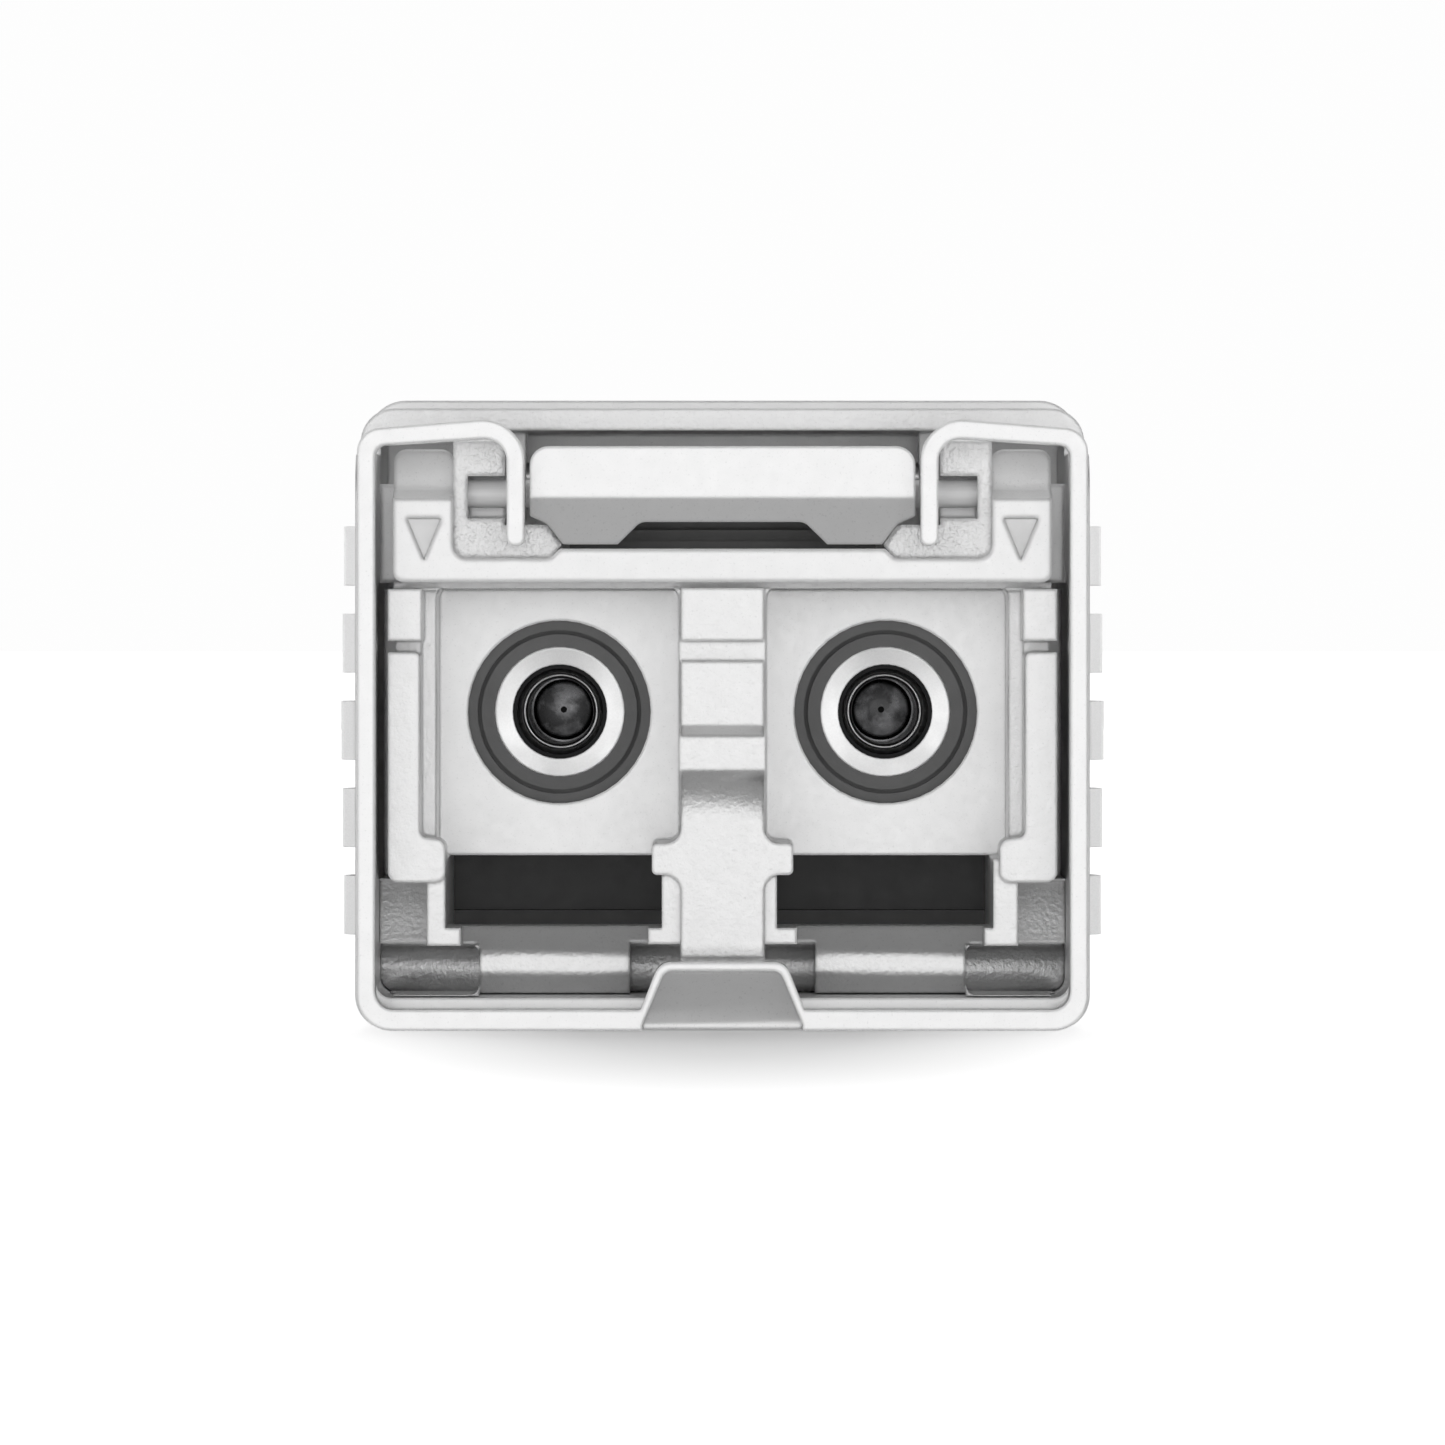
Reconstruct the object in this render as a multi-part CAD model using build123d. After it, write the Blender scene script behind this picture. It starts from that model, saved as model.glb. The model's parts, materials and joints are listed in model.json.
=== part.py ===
from build123d import *
import math
import os

# Small pluggable optical transceiver module, duplex ferrule ports, bail latch. Millimetres.
# X runs across the module, +Y from the nose to the edge connector, +Z to the latch side.
# Lengths along the module are given as depths behind the frontmost face of the bail.

LENGTH = 56.5            # bail front to the rear end of the shells
FRONT_Y = -LENGTH / 2

# Nose
NOSE_HALF_WIDTH = 6.91
NOSE_WALL = 0.39
NOSE_FRONT = 1.05        # depth of the side walls' front edge
NOSE_BACK = 9.0          # depth of the flange's rear face, which stops on the cage
FLANGE_START = 8.2
FLANGE_TOP = 11.98
ROOF_START = 4.2
ROOF_TOP = 11.75
ROOF_UNDERSIDE = 11.33
FLOOR_TOP = 0.6
INNER_HALF_WIDTH = NOSE_HALF_WIDTH - NOSE_WALL

# Bail
BAIL_STRIP = 0.33        # strip thickness, seen from the front
BAIL_DEPTH = 1.0         # strip width, along the module
BAIL_HALF_WIDTH = 6.84
BAIL_BOTTOM = 0.02
LEG_INNER = 3.71
LEG_END = 9.10
PIVOT_DEPTH = 1.8
PIVOT_HEIGHT = 10.09
PIVOT_SHAFT_RADIUS = 0.26
SHAFT_HALF_LENGTH = 4.95
SHAFT_CLEARANCE = 0.02
SWING_RADIUS = 1.12      # round the pivot, what stays clear of the strip's top run

# Latch lever
LEVER_HALF_WIDTH = 3.62
LEVER_FRONT = 0.55
LEVER_TOP = 10.97
LEVER_BOTTOM = 9.13
BEAM_HALF_WIDTH = 3.1
BEAM_THICKNESS = 0.47
LEVER_PIVOT_DEPTH = 6.5
LEVER_PIVOT_HEIGHT = 10.45
LEVER_PIN_RADIUS = 0.3
LEVER_PIN_HALF_LENGTH = 4.4
LATCH_SHOULDER = 11.5    # 45.0 mm from the rear end
BOSS_WIDTH = 2.6
BOSS_HEIGHT = 0.45

# Ports
PORT_PITCH = 6.25
PORT_AXIS_HEIGHT = 5.95
PORT_X = PORT_PITCH / 2
INSERT_TOP = 8.31
INSERT_BACK = 8.2
COLUMN_FRONT = 1.2
PLATE_FRONT = 4.8
PLATE_HOLE_RADIUS = 1.75
PLATE_STEP_RADIUS = 1.535
BARREL_FRONT = 5.6
BARREL_BACK = 12.6
BARREL_RADIUS = 1.25
BARREL_BORE = 0.905
RING_FRONT_BORE = 0.83
RING_BACK_BORE = 0.738
FERRULE_BORE = 0.63
BARREL_DISH = 0.045      # how far the barrel's front face falls towards its bore
SEAL_FRONT = 5.05
SLEEVE_FRONT = 6.9
STUB_FACE = 11.0

# Body
BODY_HALF_WIDTH = 6.7
BODY_BOTTOM = 1.41
BODY_TOP = 9.91
LATCH_WALL = 0.9
SIDE_WALL = 0.55
COVER_FLOOR = 0.5
COLLAR_RECESS = 0.12     # shallow step round the front of the body, for the collar's band
COLLAR_END = 13.4
REAR_OPENING = 46.1      # the latch-side wall ends here, over the contact pads

# Circuit board
BOARD_WIDTH = 9.2
BOARD_THICKNESS = 1.0
BOARD_TOP = BODY_TOP - 2.25
BOARD_FRONT = 20.0
BOARD_BACK = 53.3
PAD_PITCH = 0.8
PADS_PER_SIDE = 10


def y_at(depth):
    return FRONT_Y + depth


def block(x0, x1, d0, d1, z0, z1):
    centre = ((x0 + x1) / 2, y_at((d0 + d1) / 2), (z0 + z1) / 2)
    return Pos(*centre) * Box(abs(x1 - x0), abs(d1 - d0), abs(z1 - z0))


def outline(points, radii):
    """Closed face through the points, each corner rounded by its own radius."""
    return make_face(FilletPolyline(*points, radius=radii, close=True))


def along(face, d0, d1):
    """Extrude an XZ face along the module, from one depth to another."""
    return extrude(Plane.XZ.offset(-y_at(d1)) * face, d1 - d0)


def across(points, x0, x1, radii=None):
    """Extrude a side profile of (depth, height) points across the module, its corners rounded by radii."""
    path = [(y_at(d), z) for d, z in points]
    profile = outline(path, radii) if radii else make_face(Polyline(*path, close=True))
    return extrude(Plane.YZ.offset(x0) * profile, x1 - x0)


def rod_x(depth, z, radius, x0, x1):
    return Pos((x0 + x1) / 2, y_at(depth), z) * (Rot(0, 90, 0) * Cylinder(radius, x1 - x0))


def rod_y(x, z, radius, d0, d1):
    return Pos(x, y_at((d0 + d1) / 2), z) * (Rot(90, 0, 0) * Cylinder(radius, d1 - d0))


def both_sides(shape):
    return shape + mirror(shape, Plane.YZ)


def mirror_to(side, shape):
    """A shape drawn on the right, moved to the given side."""
    return shape if side > 0 else mirror(shape, Plane.YZ)


def rounded_rect(x0, x1, z0, z1, radius):
    return outline([(x0, z0), (x1, z0), (x1, z1), (x0, z1)], [radius] * 4)


def write(name, shape):
    export_step(shape, f"parts/{name}.step")


def nose_housing():
    """Die-cast nose: side walls, floor, roof behind the bail's swing, and the rear flange."""
    half = NOSE_HALF_WIDTH
    shell = along(rounded_rect(-half, half, 0, ROOF_TOP, 0.65), NOSE_FRONT, FLANGE_START)
    shell += along(rounded_rect(-half, half, 0, FLANGE_TOP, 0.75), FLANGE_START, NOSE_BACK)
    shell -= along(rounded_rect(-INNER_HALF_WIDTH, INNER_HALF_WIDTH, FLOOR_TOP, ROOF_UNDERSIDE, 0.3),
                   0, FLANGE_START)
    # The flange frames the passage into the body and the slot for the lever.
    shell -= block(-6.0, 6.0, FLANGE_START - 0.1, NOSE_BACK + 0.1, 1.7, 8.98)
    shell -= block(-3.25, 3.25, FLANGE_START - 0.1, NOSE_BACK + 0.1, 8.9, 10.25)
    # Above the pivot the side walls are rounded back and cut down, for the bail to swing over.
    wall_radius = PIVOT_DEPTH - NOSE_FRONT
    swing = block(-half - 1, half + 1, 0, ROOF_START, PIVOT_HEIGHT, FLANGE_TOP)
    swing -= rod_x(PIVOT_DEPTH, PIVOT_HEIGHT, wall_radius, -half - 1, half + 1)
    swing -= block(-half - 1, half + 1, PIVOT_DEPTH, ROOF_START, 0, PIVOT_HEIGHT + wall_radius)
    shell -= swing
    # A finger reaches behind the pull tab through a notch in the floor.
    notch = outline([(-1.7, -0.5), (1.7, -0.5), (1.25, 1.0), (-1.25, 1.0)], [0.1, 0.1, 0.25, 0.25])
    shell -= along(notch, 0, 1.95)
    # Lugs under the roof carry the lever's pivot pin.
    lug = block(3.78, 4.6, 5.85, 7.15, 9.9, ROOF_UNDERSIDE + 0.1)
    lug -= rod_x(LEVER_PIVOT_DEPTH, LEVER_PIVOT_HEIGHT, LEVER_PIN_RADIUS, 3.0, LEVER_PIN_HALF_LENGTH)
    return shell + both_sides(lug)


def latch_bracket():
    """Casting on top of the ports: two marked posts, a cross bar, and the pivot blocks."""
    post = along(outline([(-6.2, 8.42), (-5.07, 8.42), (-5.07, 10.93), (-6.2, 10.93)],
                         [0.2, 0.02, 0.24, 0.24]), 1.0, 4.1)
    clear = block(-6.3, -4.9, 0, 4.2, PIVOT_HEIGHT, 11.5)
    clear -= rod_x(PIVOT_DEPTH, PIVOT_HEIGHT, SWING_RADIUS, -6.4, -4.8)
    post -= clear
    # The post's head leans back, over a ledge.
    post -= across([(0.9, 10.0), (1.02, 10.0), (1.7, 10.17), (2.0, 11.5), (0.9, 11.5)], -6.3, -4.9)
    # Direction arrow cut into the post's face, as deep as an engraved mark.
    arrow = make_face(Polyline((-5.94, 9.62), (-5.29, 9.62), (-5.615, 8.84), close=True))
    post -= along(arrow, 0.9, 1.12)
    pivot_block = block(-5.07, -4.1, 1.25, 4.1, 8.87, PIVOT_HEIGHT)
    pivot_block += (rod_x(PIVOT_DEPTH, PIVOT_HEIGHT, SWING_RADIUS, -5.07, -4.1)
                    & block(-6, -3, 1.25, 3, 9, 12))
    pivot_block -= block(-4.8, -3.9, 1.0, 2.35, 9.62, 10.42)
    pivot_block -= rod_x(PIVOT_DEPTH, PIVOT_HEIGHT, PIVOT_SHAFT_RADIUS + SHAFT_CLEARANCE, -4.98, -4.0)
    lobe = along(outline([(-5.07, 8.87), (-3.24, 8.87), (-3.02, 9.12), (-3.3, 9.5), (-5.07, 9.5)],
                         [0.02, 0.05, 0.05, 0.12, 0.02]), 1.25, 4.1)
    lobe -= block(-4.1, -3.0, 2.4, 4.2, 8.98, 9.6)
    # Rounded inner corner between the post and the cross bar.
    corner = block(-5.07, -4.82, 1.0, 1.3, 8.87, 9.12) - rod_y(-4.82, 9.12, 0.25, 0.9, 1.4)
    side = post + pivot_block + lobe + corner + block(-5.1, -4.95, 1.6, 4.1, 8.42, 9.9)
    side += block(-INNER_HALF_WIDTH, -6.1, 3.6, 4.1, 8.42, 10.3)
    under_pivot = outline([(-5.2, 8.42), (0.2, 8.42), (0.2, 9.05), (-3.06, 9.05), (-3.24, 8.87),
                           (-5.2, 8.87)], [0.02, 0.02, 0.02, 0.05, 0.05, 0.02])
    side += along(under_pivot, 1.0, 4.1)
    side += block(-6.2, 0.2, 1.6, 4.1, INSERT_TOP, 8.42)
    side += block(-5.1, 0.2, 1.6, 4.1, 8.42, 8.95)
    return both_sides(side)


def lever_stop():
    """Black moulding on the cross bar, behind the lever's notch, with a low sill in front."""
    wall = block(-2.9, 2.9, 2.75, 4.0, 9.05, 9.2) + block(-2.9, 2.9, 3.6, 4.0, 9.05, 10.2)
    return wall + block(-2.1, 2.1, 3.1, 3.6, 9.05, 9.42)


def port_insert():
    """Duplex receptacle casting: two plug cavities, latch windows, and entry ramps."""
    body = block(-6.2, 6.2, 1.5, INSERT_BACK, 0.62, INSERT_TOP)
    for side in (-1, 1):
        x = side * PORT_X
        cavity = outline([(x - 2.3, 3.2), (x + 2.3, 3.2), (x + 2.3, 8.36), (x - 2.3, 8.36)],
                         [0.3, 0.3, 0.25, 0.25])
        body -= along(cavity, 1.0, PLATE_FRONT)
        body -= rod_y(x, PORT_AXIS_HEIGHT, PLATE_HOLE_RADIUS, 4, 5.5)
        body -= rod_y(x, PORT_AXIS_HEIGHT, PLATE_STEP_RADIUS, 4, INSERT_BACK + 1)
        # Latch window under the cavity, open right through to the retainer behind.
        body -= block(x - 2.1, x + 1.98, 1.0, INSERT_BACK + 0.1, 1.9, 3.21)
        body -= block(x - 2.1, x + 1.98, 4.4, INSERT_BACK + 0.1, 1.7, 2.0)
    # Thin sides behind the front blocks fill the nose to its walls, from further forward at the bottom.
    body += both_sides(along(side_filler(INSERT_TOP), 5.6, INSERT_BACK))
    body += both_sides(along(side_filler(2.8), 3.0, 5.6))
    return body


def side_filler(top):
    """Cross-section of the casting's right side, up to a height, rounded like the nose's corner."""
    edge = INNER_HALF_WIDTH - 0.01
    return outline([(6.1, 0.62), (edge, 0.62), (edge, top), (6.1, top)], [0.02, 0.31, 0.02, 0.02])


def front_details(body):
    """Steps, lobes, pockets and ramps on the front of the receptacle casting."""
    # Central column with a cross groove and a scooped middle.
    column = outline([(-0.78, 1.36), (0.78, 1.36), (0.78, 2.91), (1.33, 2.91), (1.33, 3.5), (0.78, 3.5),
                      (0.78, INSERT_TOP), (-0.78, INSERT_TOP), (-0.78, 3.5), (-1.33, 3.5),
                      (-1.33, 2.91), (-0.78, 2.91)],
                     [0.04, 0.04, 0.3, 0.1, 0.1, 0.3, 0.03, 0.03, 0.3, 0.1, 0.1, 0.3])
    column = along(column, COLUMN_FRONT, 5.0)
    column -= block(-1, 1, 1.0, 1.9, 6.93, 7.32)
    column += rod_x(1.85, 7.12, 0.09, -0.78, 0.78)
    # Middle of the column: an undercut lip over a ramp that comes forward as it goes down.
    column -= across([(1.0, 5.72), (1.2, 5.72), (1.45, 5.55), (1.45, 5.5), (1.0, 5.5)], -0.8, 0.8)
    column -= block(-0.8, 0.8, 1.0, 3.0, 3.95, 5.52)
    column += rod_x(COLUMN_FRONT + 1.6, 3.95, 1.6, -0.78, 0.78) & block(-1, 1, 1, 3.1, 3.9, 5.6)
    body += column
    for side in (-1, 1):
        pier = side * 6.3
        # Outer blocks: an upper one, and a long one with a foot.
        upper = block(pier, side * 5.66, COLUMN_FRONT, 3.0, 7.32, 8.29)
        long_one = outline([(pier, 2.77), (side * 5.22, 2.77), (side * 5.22, 3.57), (side * 5.7, 3.62),
                            (side * 5.7, 7.1), (pier, 7.1)], [0.2, 0.2, 0.2, 0.15, 0.12, 0.03])
        # Deep grooves between the blocks, and between them and the cavity.
        body -= block(pier, side * 5.64, 1.0, 2.6, 7.05, 7.34)
        body -= block(side * 5.7, side * 5.4, 1.0, 2.8, 3.3, 8.27)
        body += upper + along(long_one, COLUMN_FRONT, 3.0)
        # Lower corner: a recess whose back leans away, and under it a pocket with a rounded back.
        body -= across([(1.0, 1.57), (3.0, 1.57), (3.32, 2.76), (1.0, 2.76)],
                       min(side * 5.57, side * 6.6), max(side * 5.57, side * 6.6))
        pocket = outline([(side * 4.6, 0.64), (side * 6.6, 0.64), (side * 6.6, 1.57), (side * 4.6, 1.57)],
                         [0.16, 0.02, 0.02, 0.1])
        body -= along(pocket, 1.0, 4.2)
        back = rod_x(4.2, 1.07, 0.44, min(side * 4.55, side * 6.6), max(side * 4.55, side * 6.6))
        body += back & mirror_to(side, along(side_filler(2.8), 3.0, 5.0) + block(4.5, 6.2, 3.0, 5.0, 0.62, 2))
        # Entry ramp: a rounded lip under each window, widest at its top.
        body -= block(side * 1.76, side * 4.6, 1.0, 3.4, 0.5, 1.9)
        body -= block(side * 1.4, side * 4.94, 1.0, 3.4, 1.57, 1.91)
        lip = across([(3.6, 0.62), (2.98, 0.62), (2.76, 1.0), (2.76, 1.4), (3.15, 1.9), (3.6, 1.9)],
                     min(side * 1.4, side * 4.94), max(side * 1.4, side * 4.94),
                     [0.02, 0.1, 0.25, 0.3, 0.1, 0.02])
        body += lip - block(side * 1.0, side * 1.76, 1.0, 5.0, 0.5, 1.57) - block(
            side * 4.6, side * 5.2, 1.0, 5.0, 0.5, 1.57)
        # Inner pocket beside the foot of the column, with the same rounded back.
        body -= block(side * 0.8, side * 1.76, 1.0, 4.2, 0.5, 1.6)
        body += rod_x(4.2, 1.07, 0.44, min(side * 0.7, side * 1.8), max(side * 0.7, side * 1.8))
    return body


def barrel(x):
    """Steel receptacle barrel with a bevelled front, a bore for the sleeve, and a clamping flange."""
    tube = rod_y(x, PORT_AXIS_HEIGHT, BARREL_RADIUS, BARREL_FRONT, 8.6)
    tube += rod_y(x, PORT_AXIS_HEIGHT, 1.95, 8.6, 9.2)
    tube += rod_y(x, PORT_AXIS_HEIGHT, 1.45, 9.2, BARREL_BACK)
    tube -= rod_y(x, PORT_AXIS_HEIGHT, BARREL_BORE, BARREL_FRONT - 0.1, BARREL_BACK + 0.1)
    dish = Rot(90, 0, 0) * Cone(BARREL_BORE, BARREL_RADIUS - 0.04, BARREL_DISH)
    return tube - Pos(x, y_at(BARREL_FRONT + BARREL_DISH / 2), PORT_AXIS_HEIGHT) * dish


def port_seal(x):
    """Dark elastomer ring between the barrel and the plate, stepped to fill both holes."""
    seal = rod_y(x, PORT_AXIS_HEIGHT, PLATE_HOLE_RADIUS, SEAL_FRONT, 5.5)
    seal += rod_y(x, PORT_AXIS_HEIGHT, PLATE_STEP_RADIUS, 5.5, 7.0)
    seal -= rod_y(x, PORT_AXIS_HEIGHT, BARREL_RADIUS, 5.0, 7.1)
    # Groove in the front face.
    groove = rod_y(x, PORT_AXIS_HEIGHT, 1.57, 5.0, SEAL_FRONT + 0.2)
    return seal - (groove - rod_y(x, PORT_AXIS_HEIGHT, 1.49, 4.9, SEAL_FRONT + 0.3))


def entry_ring(x):
    """Ring in the barrel's mouth, with a tapered lead-in for the ferrule."""
    front, back = BARREL_FRONT + 0.15, SLEEVE_FRONT
    lead_in = Pos(x, y_at((front + back) / 2), PORT_AXIS_HEIGHT)
    lead_in *= Rot(90, 0, 0) * Cone(RING_BACK_BORE, RING_FRONT_BORE, back - front)
    return rod_y(x, PORT_AXIS_HEIGHT, BARREL_BORE, front, back) - lead_in


def sleeve(x):
    """Ceramic sleeve that guides the plug's ferrule up to the fibre stub."""
    guide = rod_y(x, PORT_AXIS_HEIGHT, BARREL_BORE, SLEEVE_FRONT, STUB_FACE)
    return guide - rod_y(x, PORT_AXIS_HEIGHT, FERRULE_BORE, SLEEVE_FRONT - 0.1, STUB_FACE + 0.1)


def pull_tab():
    """Cast tab in the middle of the bail: a trapezoid whose front is scooped for a fingertip."""
    tab = along(outline([(-1.69, BAIL_BOTTOM), (1.69, BAIL_BOTTOM), (1.18, 1.3), (-1.18, 1.3)],
                        [0.03, 0.03, 0.3, 0.3]), 0, BAIL_DEPTH)
    scoop = along(outline([(-1.68, -0.3), (1.68, -0.3), (1.08, 1.14), (-1.08, 1.14)],
                          [0.05, 0.05, 0.22, 0.22]), -0.1, BAIL_DEPTH)
    curve = rod_x(-0.42, 0.02, 1.2, -2, 2) + block(-2, 2, -0.5, 0.12, -0.5, 1.2)
    return tab - (scoop & curve)


def bail():
    """Formed strip: side arms, bottom bar with the pull tab, and legs turned down to the pivot."""
    outer, inner = BAIL_HALF_WIDTH, BAIL_HALF_WIDTH - BAIL_STRIP
    leg_outer = LEG_INNER + BAIL_STRIP
    loop = outline([(-1.5, BAIL_BOTTOM), (-outer, BAIL_BOTTOM), (-outer, 11.27), (-LEG_INNER, 11.52),
                    (-LEG_INNER, LEG_END), (-leg_outer, LEG_END), (-leg_outer, 11.13),
                    (-inner, 10.97), (-inner, BAIL_BOTTOM + 0.39), (-1.5, BAIL_BOTTOM + 0.39)],
                   [0.02, 0.65, 0.45, 0.78, 0.15, 0.15, 0.42, 0.2, 0.35, 0.02])
    half = along(loop, 0, BAIL_DEPTH)
    lug = rod_x(PIVOT_DEPTH, PIVOT_HEIGHT, 0.5, -leg_outer, -LEG_INNER)
    lug += block(-leg_outer, -LEG_INNER, 0.5, PIVOT_DEPTH, PIVOT_HEIGHT - 0.5, PIVOT_HEIGHT + 0.5)
    half += lug
    half -= rod_x(PIVOT_DEPTH, PIVOT_HEIGHT, PIVOT_SHAFT_RADIUS, -5, -3)
    return both_sides(half) + pull_tab()


def bail_cam_shaft():
    """Pivot shaft pressed into the bail's legs, with two eccentric cams under the lever."""
    offset, radius = 0.47, 0.33
    shaft = rod_x(PIVOT_DEPTH, PIVOT_HEIGHT, PIVOT_SHAFT_RADIUS, -SHAFT_HALF_LENGTH, SHAFT_HALF_LENGTH)
    for x0 in (-2.7, 1.5):
        shaft += rod_x(PIVOT_DEPTH - offset, PIVOT_HEIGHT, radius, x0, x0 + 1.2)
        shaft += block(x0, x0 + 1.2, PIVOT_DEPTH - offset, PIVOT_DEPTH, PIVOT_HEIGHT - PIVOT_SHAFT_RADIUS,
                       PIVOT_HEIGHT + PIVOT_SHAFT_RADIUS)
    return shaft


def latch_lever():
    """Rocking lever: finger plate in front, beam over the cams, and the latch boss behind."""
    plate = outline([(-3.0, LEVER_BOTTOM), (-1.97, LEVER_BOTTOM), (-1.54, 9.55), (1.54, 9.55),
                     (1.97, LEVER_BOTTOM), (3.0, LEVER_BOTTOM), (3.3, 9.52), (LEVER_HALF_WIDTH, 9.66),
                     (LEVER_HALF_WIDTH, LEVER_TOP), (-LEVER_HALF_WIDTH, LEVER_TOP),
                     (-LEVER_HALF_WIDTH, 9.66), (-3.3, 9.52)],
                    [0.05, 0.02, 0.25, 0.25, 0.02, 0.05, 0.1, 0.05, 0.36, 0.36, 0.05, 0.1])
    wedge = across([(LEVER_FRONT, LEVER_TOP + 0.1), (LEVER_FRONT, 10.01), (LEVER_FRONT + 0.33, LEVER_BOTTOM),
                    (LEVER_FRONT + 0.33, 8.9), (0.98, 8.9), (0.98, LEVER_TOP + 0.1)], -4, 4)
    front = along(plate, LEVER_FRONT, 0.98) & wedge
    under = LEVER_TOP - BEAM_THICKNESS
    rear_top = BODY_TOP - 0.05
    rear_under = rear_top - BEAM_THICKNESS
    beam = across([(0.9, under), (0.9, LEVER_TOP), (7.0, LEVER_TOP), (7.75, rear_top), (12.95, rear_top),
                   (12.95, rear_under), (7.45, rear_under), (6.75, under)],
                  -BEAM_HALF_WIDTH, BEAM_HALF_WIDTH)
    beam += rod_x(LEVER_PIVOT_DEPTH, LEVER_PIVOT_HEIGHT, 0.55, -BEAM_HALF_WIDTH, BEAM_HALF_WIDTH)
    beam -= rod_x(LEVER_PIVOT_DEPTH, LEVER_PIVOT_HEIGHT, LEVER_PIN_RADIUS + 0.02, -4, 4)
    boss = across([(LATCH_SHOULDER, rear_top - 0.1), (LATCH_SHOULDER, BODY_TOP + BOSS_HEIGHT),
                   (LATCH_SHOULDER + 0.2, BODY_TOP + BOSS_HEIGHT), (12.9, rear_top), (12.9, rear_top - 0.1)],
                  -BOSS_WIDTH / 2, BOSS_WIDTH / 2)
    return front + beam + boss


def osa_retainer():
    """Black moulding behind the ports that holds both barrels by their flanges."""
    body = block(-5.95, 5.95, INSERT_BACK, 9.9, 2.08, 8.9)
    body -= block(-5.3, 5.3, INSERT_BACK - 0.1, 8.5, 2.0, 3.3)
    body += block(-5.95, 5.95, INSERT_BACK, NOSE_BACK - 0.05, 1.74, 2.08)
    for side in (-1, 1):
        x = side * PORT_X
        body -= rod_y(x, PORT_AXIS_HEIGHT, BARREL_RADIUS, 8, 8.7)
        body -= rod_y(x, PORT_AXIS_HEIGHT, 1.95, 8.6, 10)
    return body


def optical_can(x, cap_radius):
    """Welded can on the rear of a barrel: a cap, a header flange and five leads."""
    can = rod_y(x, PORT_AXIS_HEIGHT, cap_radius, BARREL_BACK, 15.4)
    can += rod_y(x, PORT_AXIS_HEIGHT, 2.7, 15.4, 16.4)
    for k in range(5):
        angle = math.radians(90 + 72 * k)
        can += rod_y(x + 1.0 * math.cos(angle), PORT_AXIS_HEIGHT + 1.0 * math.sin(angle), 0.2, 16.3, 17.4)
    return can


def flex_circuit(x):
    """Polyimide flex from a can's leads, folded back on to the board."""
    thick = 0.12
    face = block(x - 2.1, x + 2.1, 17.4, 17.4 + thick, 3.9, BOARD_TOP + thick)
    top = block(x - 1.4, x + 1.4, 17.4, BOARD_FRONT + 2.4, BOARD_TOP, BOARD_TOP + thick)
    return face + top


def collar_recess():
    """What is cut from the front of the body so that the collar's band lies flush."""
    half = BODY_HALF_WIDTH
    ring = block(-half - 1, half + 1, 8, COLLAR_END, 0, 12)
    return ring - along(rounded_rect(-half + COLLAR_RECESS, half - COLLAR_RECESS, BODY_BOTTOM + COLLAR_RECESS,
                                     BODY_TOP - COLLAR_RECESS, 0.25), 7, COLLAR_END + 1)


def base_shell():
    """Latch-side channel of the body: wall with the lever's slot, and two side walls."""
    half = BODY_HALF_WIDTH
    section = outline([(-half, BODY_BOTTOM + COVER_FLOOR), (half, BODY_BOTTOM + COVER_FLOOR),
                       (half, BODY_TOP), (-half, BODY_TOP)], [0.02, 0.02, 0.3, 0.3])
    shell = along(section, NOSE_BACK, LENGTH)
    shell -= block(-half + SIDE_WALL, half - SIDE_WALL, 8, 60, 0, BODY_TOP - LATCH_WALL)
    # Lever slot at the front, open latch side over the contact pads at the rear.
    shell -= block(-3.25, 3.25, 8, 13.3, 8, 12)
    shell -= block(-half - 1, half + 1, REAR_OPENING, 60, BOARD_TOP + 0.4, 12)
    # Shelves on the side walls carry the board, and ribs stiffen the wall.
    for side in (-1, 1):
        shell += block(side * 4.75, side * 6.2, 21.5, BOARD_BACK, BOARD_TOP - 1.9, BOARD_TOP - BOARD_THICKNESS)
        for depth in (24.0, 31.0, 38.0):
            shell += block(side * 4.9, side * 6.2, depth, depth + 0.8, BOARD_TOP + 0.2, BODY_TOP - 0.5)
    shell -= collar_recess()
    # Cooling flutes along the latch side.
    for k in range(-3, 4):
        shell -= block(k * 1.5 - 0.3, k * 1.5 + 0.3, 17.0, 43.0, BODY_TOP - 0.25, 11)
    return shell


def label_side_cover():
    """Label-side cover with inner skirts, screw bosses and a shallow label recess."""
    half = BODY_HALF_WIDTH
    cover = along(outline([(-half, BODY_BOTTOM), (half, BODY_BOTTOM), (half, BODY_BOTTOM + COVER_FLOOR),
                           (-half, BODY_BOTTOM + COVER_FLOOR)], [0.3, 0.3, 0.02, 0.02]),
                  NOSE_BACK, LENGTH)
    inner = half - SIDE_WALL - 0.03
    for side in (-1, 1):
        cover += block(side * (inner - 0.5), side * inner, 10.5, 52.0, 1.8, 4.2)
        for depth in (18.5, 50.0):
            post = Pos(side * 4.0, y_at(depth), 0) * Cylinder(0.95, 3.0, align=(Align.CENTER,) * 2 + (Align.MIN,))
            cover += Pos(0, 0, BODY_BOTTOM + 0.3) * post
    for side in (-1, 1):
        for depth in (18.5, 50.0):
            cover -= screw_body(side * 4.0, depth, 0.0)
    cover -= collar_recess()
    return cover - block(-5.2, 5.2, 21.0, 47.0, 0, BODY_BOTTOM + 0.12)


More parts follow.
